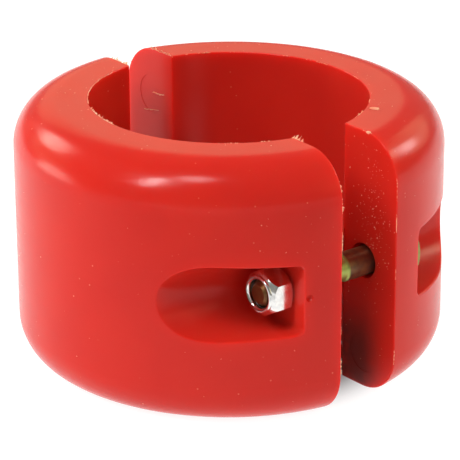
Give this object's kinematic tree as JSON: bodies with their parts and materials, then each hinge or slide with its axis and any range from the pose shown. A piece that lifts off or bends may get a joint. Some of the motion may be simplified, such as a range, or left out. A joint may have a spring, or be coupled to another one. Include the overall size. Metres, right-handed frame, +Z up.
{
  "type": "split hose collar",
  "caption": "Split moulded plastic collar that clamps round a large hose, drawn together by hex bolts with lock nuts seated in pockets in its sides.",
  "frame": {"origin": "on the surface the collar stands on, at the centre of the hose bore", "axes": "+Z up along the hose, X along the split between the halves, +Y from the front half (nut side) to the rear half (bolt head side)"},
  "size_m": [0.1418, 0.143, 0.089],
  "materials": {
    "collar_plastic": "glossy moulded plastic, slightly translucent at its edges, with fine dust specks",
    "bolt_yellow_zinc": "yellow zinc plated steel",
    "nut_bright_zinc": "bright zinc plated steel",
    "insert_nylon": "dark nylon"
  },
  "bodies": {
    "rear_clamp": {"rear_half": "collar_plastic"},
    "front_clamp": {"front_half": "collar_plastic"},
    "right_bolt": {"clamp_bolt_right": "bolt_yellow_zinc"},
    "left_bolt": {"clamp_bolt_left": "bolt_yellow_zinc"},
    "right_nut": {"lock_nut_right": "nut_bright_zinc", "nylon_insert_right": "insert_nylon"},
    "left_nut": {"lock_nut_left": "nut_bright_zinc", "nylon_insert_left": "insert_nylon"}
  },
  "joints": [
    {"name": "clamp_slide", "type": "slide", "parent": "rear_clamp", "child": "front_clamp", "axis": [0, 1, 0], "range_m": [-0.00476, 0.01111]},
    {"name": "nut_right_turn", "type": "hinge", "parent": "front_clamp", "child": "right_nut", "pos_m": [0.055, -0.0285, 0.0445], "axis": [0, 1, 0], "range_deg": [-1080, 2520]},
    {"name": "nut_left_turn", "type": "hinge", "parent": "front_clamp", "child": "left_nut", "pos_m": [-0.055, -0.025, 0.0445], "axis": [0, 1, 0], "range_deg": [-1080, 2520]},
    {"name": "bolt_right_turn", "type": "hinge", "parent": "rear_clamp", "child": "right_bolt", "pos_m": [0.055, 0, 0.0445], "axis": [0, -1, 0], "continuous": true},
    {"name": "bolt_left_turn", "type": "hinge", "parent": "rear_clamp", "child": "left_bolt", "pos_m": [-0.055, 0, 0.0445], "axis": [0, -1, 0], "continuous": true}
  ],
  "couplings": [
    {"joint": "nut_right_turn", "follows": "clamp_slide", "rad_per_m": 3957.9},
    {"joint": "nut_left_turn", "follows": "clamp_slide", "rad_per_m": 3957.9}
  ]
}
